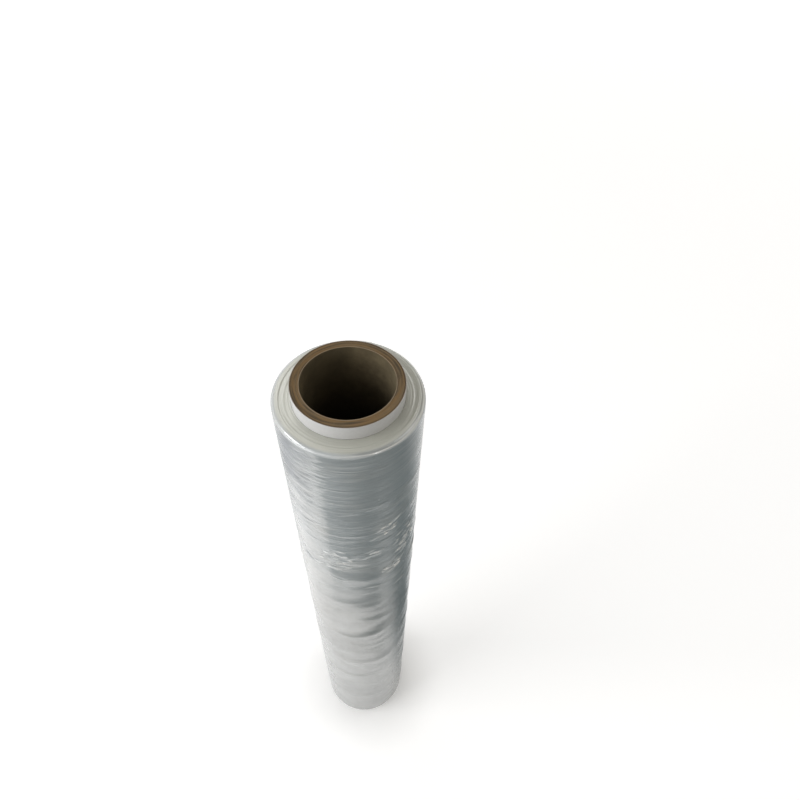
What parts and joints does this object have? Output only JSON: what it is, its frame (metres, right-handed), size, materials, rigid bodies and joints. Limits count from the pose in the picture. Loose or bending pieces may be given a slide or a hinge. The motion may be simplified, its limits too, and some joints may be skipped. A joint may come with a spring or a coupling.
{
  "type": "stretch wrap roll",
  "caption": "Roll of clear hand stretch film wound on a paper core that stands out of the film at both ends.",
  "frame": {"origin": "centre of the core's lower end, on the plane that the roll stands on", "axes": "+Z along the roll's axis, up from the end that it stands on; +X to the right and +Y away as seen from the side that faces the viewer"},
  "size_m": [0.0837, 0.0838, 0.518],
  "materials": {
    "core_board": "spiral-wound brown kraft board, cut square at the ends",
    "core_face_ply": "smooth white paper ply",
    "film": "many turns of clear glossy film, milky in the mass"
  },
  "bodies": {
    "root": {"core_board": "core_board", "core_face_ply": "core_face_ply", "film_roll": "film"}
  },
  "joints": []
}
